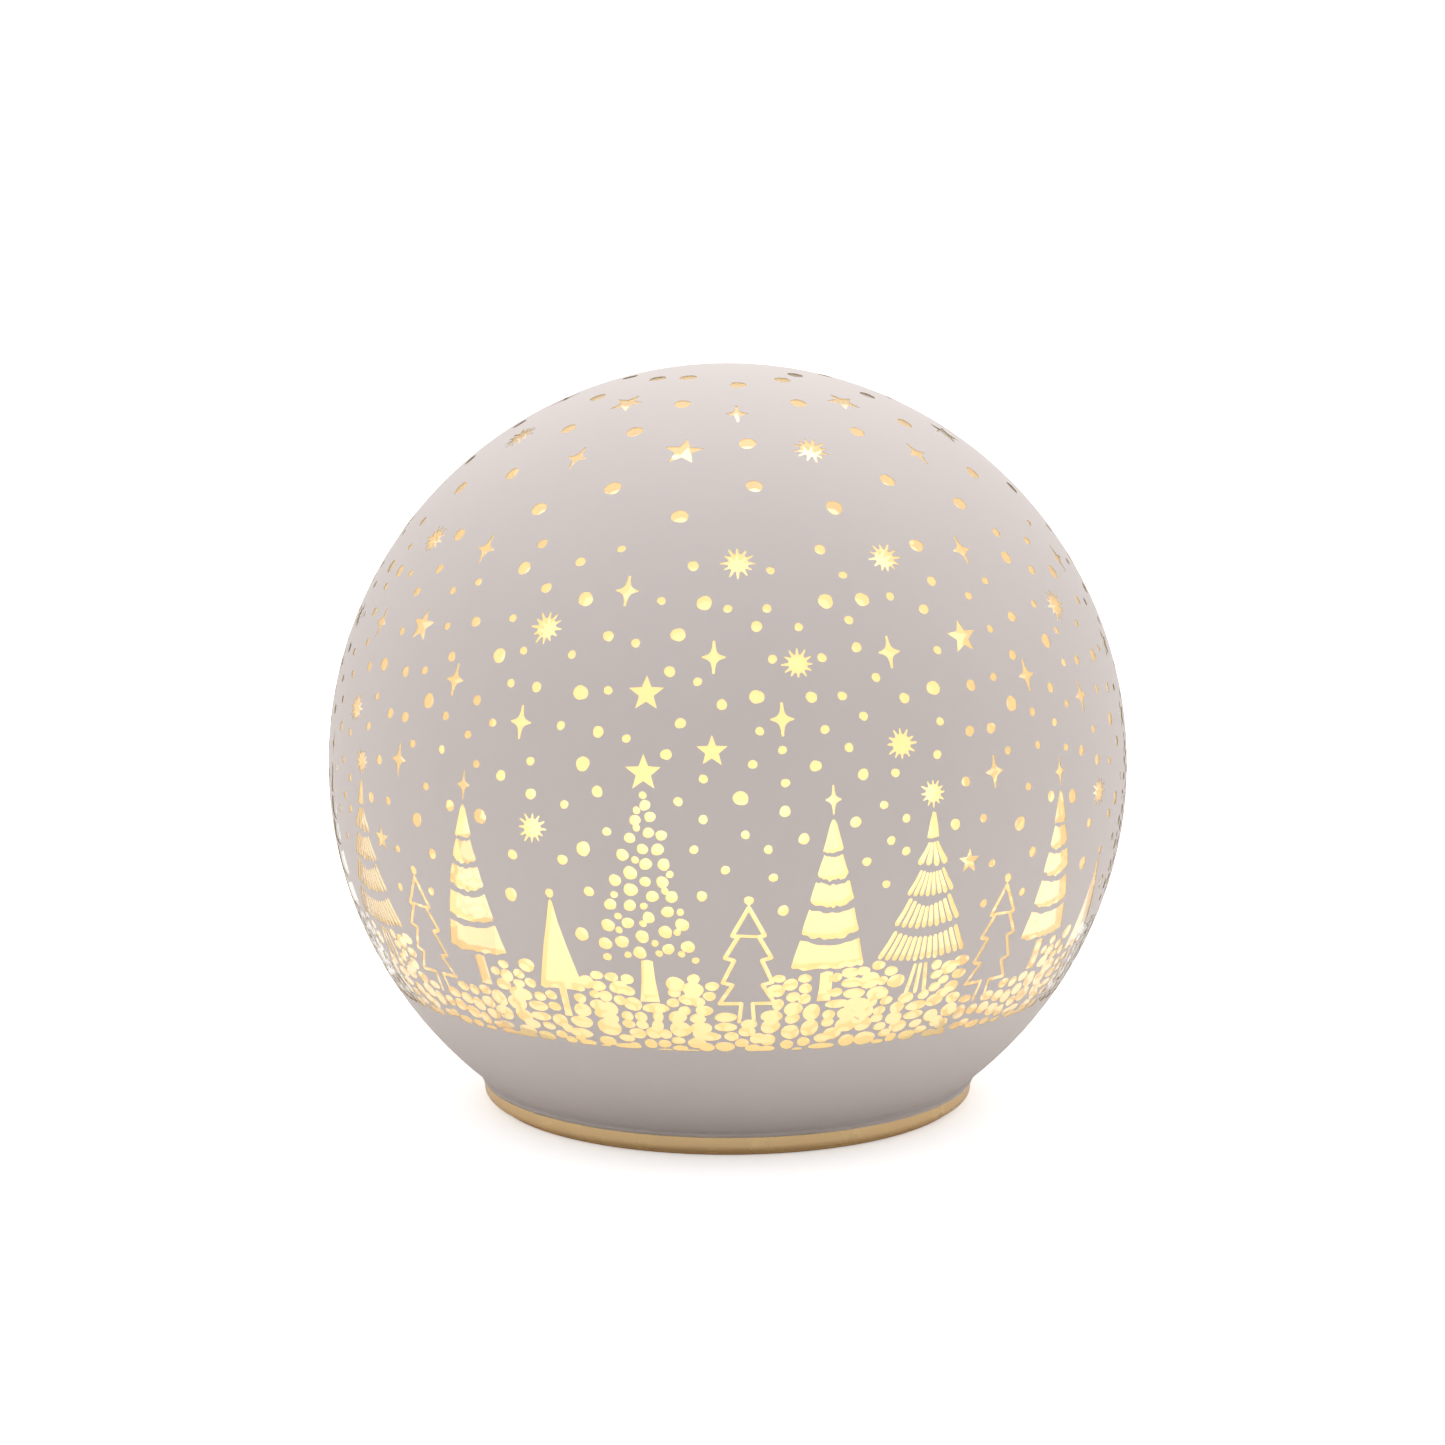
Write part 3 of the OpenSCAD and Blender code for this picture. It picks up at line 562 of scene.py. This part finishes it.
def flask(name, ball_out, neck_out, ball_in, neck_in, foot, rings=70):
    """A hollow ball on an open neck, as one closed wall."""
    lat_o, neck_o = neck_profile(ball_out, neck_out, foot)
    lat_i = math.asin(math.sqrt(ball_in ** 2 - neck_in ** 2) / ball_in)
    outer = sphere_arc(ball_out, math.pi / 2, -lat_o, rings)
    outer[0] = (0, MID_Z + ball_out)
    inner = sphere_arc(ball_in, -lat_i, math.pi / 2, rings)
    inner[-1] = (0, MID_Z + ball_in)
    obj = lathe(name, outer + neck_o[1:] + [(neck_in, foot)] + inner)
    smooth(obj, 50)
    return obj


glass = flask("blown_glass", GLASS_OUT, NECK_GLASS, GLASS_IN, NECK_GLASS - 1.4 * MM, NECK_FOOT + 0.02 * MM)
film = flask("gold_film", FILM_OUT, NECK_FILM, FILM_IN, NECK_FILM - 0.05 * MM, NECK_FOOT + 0.1 * MM)


# ---- materials
class Nodes:
    """Short names for building a node material."""

    def __init__(self, name):
        self.mat = bpy.data.materials.new(name)
        self.mat.use_nodes = True
        self.tree = self.mat.node_tree
        self.tree.nodes.clear()
        self.out = self.add("ShaderNodeOutputMaterial")

    def add(self, kind, **values):
        node = self.tree.nodes.new(kind)
        for key, value in values.items():
            setattr(node, key, value)
        return node

    def link(self, a, b):
        self.tree.links.new(a, b)

    def noise(self, scale, detail=3.0, rough=0.5):
        where = self.add("ShaderNodeTexCoord")
        n = self.add("ShaderNodeTexNoise")
        n.inputs["Scale"].default_value = scale
        n.inputs["Detail"].default_value = detail
        n.inputs["Roughness"].default_value = rough
        self.link(where.outputs["Object"], n.inputs["Vector"])
        return n.outputs["Fac"]

    def ramp(self, source, stops):
        r = self.add("ShaderNodeValToRGB")
        e = r.color_ramp.elements
        while len(e) < len(stops):
            e.new(0.5)
        for el, (at, colour) in zip(e, stops):
            el.position = at
            el.color = (*colour, 1)
        self.link(source, r.inputs["Fac"])
        return r.outputs["Color"]

    def math(self, op, a, b):
        m = self.add("ShaderNodeMath", operation=op)
        for socket, value in zip(m.inputs, (a, b)):
            if isinstance(value, (int, float)):
                socket.default_value = value
            else:
                self.link(value, socket)
        return m.outputs[0]

    def axis(self, letter):
        """The place along the object's own X, Y or Z, in metres."""
        where = self.add("ShaderNodeTexCoord")
        split = self.add("ShaderNodeSeparateXYZ")
        self.link(where.outputs["Object"], split.inputs["Vector"])
        return split.outputs[letter]

    def bump(self, height, strength, distance, shader):
        node = self.add("ShaderNodeBump")
        node.inputs["Strength"].default_value = strength
        node.inputs["Distance"].default_value = distance
        self.link(height, node.inputs["Height"])
        self.link(node.outputs["Normal"], shader.inputs["Normal"])

    def surface(self, *shaders):
        """The finished material, from one shader or the sum of two."""
        last = shaders[0].outputs[0]
        if len(shaders) == 2:
            both = self.add("ShaderNodeAddShader")
            self.link(last, both.inputs[0])
            self.link(shaders[1].outputs[0], both.inputs[1])
            last = both.outputs[0]
        self.link(last, self.out.inputs["Surface"])
        return self.mat


def tint(colour, k):
    return tuple(min(1, c * k) for c in colour)


def plain(name, colour, rough=0.5, metal=0.0, vary=0.06, scale=400.0, bump=0.0, coat_weight=0.0, ior=1.45):
    """A principled finish whose colour and gloss vary a little, with an optional fine grain."""
    n = Nodes(name)
    b = n.add("ShaderNodeBsdfPrincipled")
    b.inputs["Metallic"].default_value = metal
    b.inputs["IOR"].default_value = ior
    b.inputs["Coat Weight"].default_value = coat_weight
    fac = n.noise(scale)
    shades = n.ramp(fac, [(0.3, tint(colour, 1 - vary)), (0.7, tint(colour, 1 + vary))])
    n.link(shades, b.inputs["Base Color"])
    n.link(n.math("ADD", n.math("MULTIPLY", fac, 0.16), rough - 0.08), b.inputs["Roughness"])
    if bump:
        n.bump(n.noise(scale * 4, 5), bump, 0.2 * MM, b)
    return n.surface(b)


def lacquer():
    """Matte white lacquer, a little cloudy and finely grained."""
    n = Nodes("white_lacquer")
    b = n.add("ShaderNodeBsdfPrincipled")
    b.inputs["Roughness"].default_value = 0.62
    b.inputs["IOR"].default_value = 1.4
    cloud = n.noise(22, 4)
    greys = n.ramp(cloud, [(0.3, (0.645, 0.590, 0.572)), (0.7, (0.665, 0.610, 0.592))])
    n.link(greys, b.inputs["Base Color"])
    n.bump(n.noise(1600, 4), 0.12, 0.1 * MM, b)
    return n.surface(b)


def clear_glass():
    """Hand-blown glass with faint waves."""
    n = Nodes("clear_glass")
    g = n.add("ShaderNodeBsdfGlass")
    g.inputs["Color"].default_value = (0.995, 0.99, 0.975, 1)
    g.inputs["Roughness"].default_value = 0.0
    g.inputs["IOR"].default_value = 1.48
    n.bump(n.noise(28, 2), 0.25, 0.6 * MM, g)
    return n.surface(g)


def gold_film():
    """Half-clear gold plating: it passes light, warmed, or mirrors it, and glows a little.

    The glow stands for light that is scattered between the plating, the lacquer and the shade.
    """
    n = Nodes("gold_film")
    clear = n.add("ShaderNodeBsdfTransparent")
    clear.inputs["Color"].default_value = (1.0, 0.93, 0.76, 1)
    shine = n.add("ShaderNodeBsdfGlossy")
    shine.inputs["Color"].default_value = (1.0, 0.90, 0.74, 1)
    shine.inputs["Roughness"].default_value = 0.05
    fac = n.noise(9, 3)
    mix = n.add("ShaderNodeMixShader")
    slant = n.add("ShaderNodeLayerWeight")
    slant.inputs["Blend"].default_value = 0.5
    by_slant = n.math("MULTIPLY", slant.outputs["Facing"], 0.45)
    n.link(n.math("ADD", by_slant, n.math("MULTIPLY", fac, 0.14)), mix.inputs["Fac"])
    n.link(clear.outputs["BSDF"], mix.inputs[1])
    n.link(shine.outputs["BSDF"], mix.inputs[2])
    fill = n.add("ShaderNodeEmission")
    warm = n.ramp(n.noise(60, 4), [(0.3, (1.0, 0.87, 0.60)), (0.7, (1.0, 0.93, 0.72))])
    n.link(warm, fill.inputs["Color"])
    fill.inputs["Strength"].default_value = 0.17
    n.mat.cycles.emission_sampling = "NONE"
    return n.surface(mix, fill)


def glowing_shade():
    """Frosted shade lit from inside: whitest at the lamps' height, deeper yellow at its foot and top."""
    lamps_at = 0.56                          # share of the shade's height
    n = Nodes("frosted_shade")
    height = n.math("DIVIDE", n.math("SUBTRACT", n.axis("Z"), shade_lo.z), shade_hi.z - shade_lo.z)
    from_lamps = n.math("ABSOLUTE", n.math("SUBTRACT", height, lamps_at), 0)
    up = n.math("SUBTRACT", 1.0, n.math("MULTIPLY", from_lamps, 1.5))
    heat = n.math("ADD", n.math("MULTIPLY", up, 0.72), n.math("MULTIPLY", n.noise(30, 2), 0.08))
    colour = n.ramp(heat, [(0.0, (1.0, 0.88, 0.42)), (0.35, (0.98, 0.96, 0.52)), (0.65, (0.95, 1.0, 0.60)),
                           (0.95, (0.97, 1.0, 0.86))])
    glow = n.add("ShaderNodeEmission")
    n.link(colour, glow.inputs["Color"])
    n.link(n.math("ADD", n.math("MULTIPLY", heat, 0.42), 0.33), glow.inputs["Strength"])
    soft = n.add("ShaderNodeBsdfDiffuse")
    soft.inputs["Color"].default_value = (0.85, 0.8, 0.66, 1)
    return n.surface(glow, soft)


def glowing(name, colour, strength):
    """A finish that gives off its own light."""
    n = Nodes(name)
    b = n.add("ShaderNodeBsdfPrincipled")
    fac = n.noise(500)
    n.link(n.ramp(fac, [(0.3, tint(colour, 0.92)), (0.7, colour)]), b.inputs["Base Color"])
    b.inputs["Emission Color"].default_value = (*colour, 1)
    b.inputs["Emission Strength"].default_value = strength
    return n.surface(b)


def cell_wrap(name, plus_is_east):
    """Printed foil wrap of a cell: a gold shoulder at the button's end and a bare metal end."""
    n = Nodes(name)
    east = n.math("MULTIPLY", n.axis("X"), (1 if plus_is_east else -1) / MM)
    along = n.math("DIVIDE", n.math("ADD", east, CELL_HALF), 2 * CELL_HALF)
    b = n.add("ShaderNodeBsdfPrincipled")
    b.inputs["Metallic"].default_value = 0.75
    colour = n.ramp(along, [(0.0, (0.6, 0.6, 0.6)), (0.088, (0.6, 0.6, 0.6)), (0.09, (0.05, 0.05, 0.055)),
                            (0.70, (0.05, 0.05, 0.055)), (0.705, (0.72, 0.47, 0.2)),
                            (0.958, (0.72, 0.47, 0.2)), (0.96, (0.7, 0.7, 0.7))])
    n.link(colour, b.inputs["Base Color"])
    n.link(n.math("ADD", n.math("MULTIPLY", n.noise(200), 0.15), 0.25), b.inputs["Roughness"])
    return n.surface(b)


def dress(obj, mat):
    obj.data.materials.clear()
    obj.data.materials.append(mat)


GOLD = (1.0, 0.72, 0.38)
gold_plastic = plain("gold_plastic", GOLD, rough=0.26, metal=0.9, vary=0.03, scale=160, bump=0.08)
white_plastic = plain("white_plastic", (0.86, 0.85, 0.82), rough=0.45, vary=0.02)
steel = plain("screw_steel", (0.66, 0.66, 0.67), rough=0.3, metal=1, vary=0.08, scale=900)
nickel = plain("contact_nickel", (0.78, 0.76, 0.70), rough=0.28, metal=1, vary=0.06, scale=700)
black_wire = plain("black_wire", (0.02, 0.02, 0.022), rough=0.4, vary=0.2)
red_wire = plain("red_wire", (0.55, 0.02, 0.015), rough=0.38, vary=0.08)
FINISHES = {
    "seal_bead": plain("clear_sealant", (0.8, 0.78, 0.72), rough=0.25, vary=0.03),
    "base_cup": gold_plastic,
    "battery_door": plain("gold_plastic_door", GOLD, rough=0.28, metal=0.9, vary=0.04, scale=190, bump=0.1),
    "foot_ring": plain("foot_foam", (0.022, 0.021, 0.02), rough=0.9, vary=0.3, scale=1500, bump=0.6),
    "deck_plate": white_plastic,
    "lamp_post": white_plastic,
    "deck_screws": steel,
    "board_screws": steel,
    "door_screw_east": steel,
    "door_screw_west": steel,
    "lamp_board": plain("white_board", (0.9, 0.9, 0.88), rough=0.3, vary=0.02),
    "lamp_leds": glowing("led_phosphor", (1.0, 0.82, 0.42), 6),
    "lamp_red_lead": red_wire,
    "battery_red_lead": red_wire,
    "lamp_black_lead": black_wire,
    "battery_black_lead": black_wire,
    "switch_lead": plain("white_wire", (0.85, 0.85, 0.83), rough=0.4, vary=0.03),
    "control_board": plain("green_board", (0.015, 0.12, 0.04), rough=0.3, vary=0.2, scale=600,
                           coat_weight=0.4),
    "timer_chip": plain("chip_black", (0.02, 0.02, 0.022), rough=0.55, vary=0.15, scale=1200, bump=0.2),
    "resistors": plain("resistor_black", (0.03, 0.03, 0.035), rough=0.5, vary=0.15),
    "quartz_can": plain("can_metal", (0.72, 0.72, 0.7), rough=0.25, metal=1),
    "switch_body": plain("switch_metal", (0.7, 0.7, 0.69), rough=0.32, metal=1),
    "capacitor": plain("capacitor_tan", (0.55, 0.33, 0.14), rough=0.5),
    "switch_slider": plain("black_plastic", (0.018, 0.018, 0.018), rough=0.5, vary=0.2, scale=900, bump=0.3),
    "cell_left": cell_wrap("cell_case_left", True),
    "cell_middle": cell_wrap("cell_case_middle", False),
    "cell_right": cell_wrap("cell_case_right", True),
    "contact_springs": nickel,
    "link_plates": nickel,
    "output_plates": nickel,
    "frosted_shade": glowing_shade(),
}
for name, mat in FINISHES.items():
    dress(NODES[name], mat)
    smooth(NODES[name])

for piece, node, slot_name, mat in ((coat, "white_coat", "white_lacquer", lacquer()),
                                    (glass, "glass_globe", "clear_glass", clear_glass()),
                                    (film, "gold_plating", "gold_film", gold_film())):
    dress(piece, mat)
    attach(piece, "lamp")
    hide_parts(node)

# ---- stage, light and camera
FLOOR_Z = -0.05 * MM                        # just clear of the foot ring, so the two never share a plane
FLOOR_RADII = (0, 0.5, 3, 45)               # metres


def pale_floor():
    """White ground, which the camera sees a little brighter than it lights the lamp."""
    n = Nodes("pale_floor")
    seen = n.add("ShaderNodeLightPath").outputs["Is Camera Ray"]
    ground = n.add("ShaderNodeBsdfDiffuse")
    pick = n.add("ShaderNodeMix", data_type="RGBA")
    pick.inputs["A"].default_value = (0.93, 0.92, 0.91, 1)
    n.link(seen, pick.inputs["Factor"])
    whites = n.ramp(n.noise(3), [(0.3, (0.93, 0.93, 0.93)), (0.7, (0.95, 0.95, 0.95))])
    n.link(whites, pick.inputs["B"])
    n.link(pick.outputs["Result"], ground.inputs["Color"])
    lift = n.add("ShaderNodeEmission")
    lift.inputs["Color"].default_value = (1, 1, 1, 1)
    n.link(n.math("MULTIPLY", seen, 0.5), lift.inputs["Strength"])
    return n.surface(ground, lift)


floor = lathe("floor", [(r, FLOOR_Z) for r in FLOOR_RADII], 64, False)
dress(floor, pale_floor())

world = bpy.data.worlds.new("studio")
bpy.context.scene.world = world
world.use_nodes = True
tree = world.node_tree
tree.nodes.clear()


def ease(source, low, high, gain):
    """gain times a smooth step of source from low to high."""
    step = tree.nodes.new("ShaderNodeMapRange")
    step.interpolation_type = "SMOOTHSTEP"
    for socket, value in (("From Min", low), ("From Max", high), ("To Min", 0.0), ("To Max", gain)):
        step.inputs[socket].default_value = value
    tree.links.new(source, step.inputs["Value"])
    return step.outputs["Result"]


# the sky's light: an even 0.05, more from above, and more from every side but the front
where = tree.nodes.new("ShaderNodeTexCoord")
axes = tree.nodes.new("ShaderNodeSeparateXYZ")
tree.links.new(where.outputs["Generated"], axes.inputs[0])
upper, around = tree.nodes.new("ShaderNodeMath"), tree.nodes.new("ShaderNodeMath")
upper.inputs[1].default_value = 0.05
tree.links.new(ease(axes.outputs["Z"], 0.3, 0.85, 0.80), upper.inputs[0])
tree.links.new(upper.outputs[0], around.inputs[0])
tree.links.new(ease(axes.outputs["Y"], -0.9, 0.1, 0.78), around.inputs[1])
sky = tree.nodes.new("ShaderNodeBackground")
sky.inputs["Color"].default_value = (1.0, 0.985, 0.975, 1)
white = tree.nodes.new("ShaderNodeBackground")
white.inputs["Color"].default_value = (1, 1, 1, 1)
path = tree.nodes.new("ShaderNodeLightPath")
pick = tree.nodes.new("ShaderNodeMixShader")
end = tree.nodes.new("ShaderNodeOutputWorld")
for a, b in ((around.outputs[0], sky.inputs["Strength"]), (path.outputs["Is Camera Ray"], pick.inputs["Fac"]),
             (sky.outputs[0], pick.inputs[1]), (white.outputs[0], pick.inputs[2]),
             (pick.outputs[0], end.inputs["Surface"])):
    tree.links.new(a, b)

key = bpy.data.objects.new("softbox", bpy.data.lights.new("softbox", "AREA"))
key.data.shape = "DISK"
key.data.size = 0.9
key.data.energy = 1.5
key.location = (0.1, 0.35, 1.1)
key.rotation_euler = (Vector((0, 0, MID_Z)) - key.location).to_track_quat("-Z", "Y").to_euler()
bpy.context.scene.collection.objects.link(key)

TILT = math.radians(10.5)
camera = bpy.data.objects.new("camera", bpy.data.cameras.new("camera"))
bpy.context.scene.collection.objects.link(camera)
camera.location = Vector((0, 0, MID_Z)) + 10 * BALL * Vector((0, -math.cos(TILT), math.sin(TILT)))
camera.rotation_euler = (math.pi / 2 - TILT, 0, 0)
camera.data.sensor_width = 36
camera.data.lens = 99
camera.data.shift_x = -0.0036
camera.data.shift_y = 0.0275
camera.data.clip_end = 100
bpy.context.scene.camera = camera
bpy.context.scene.view_settings.view_transform = "Standard"
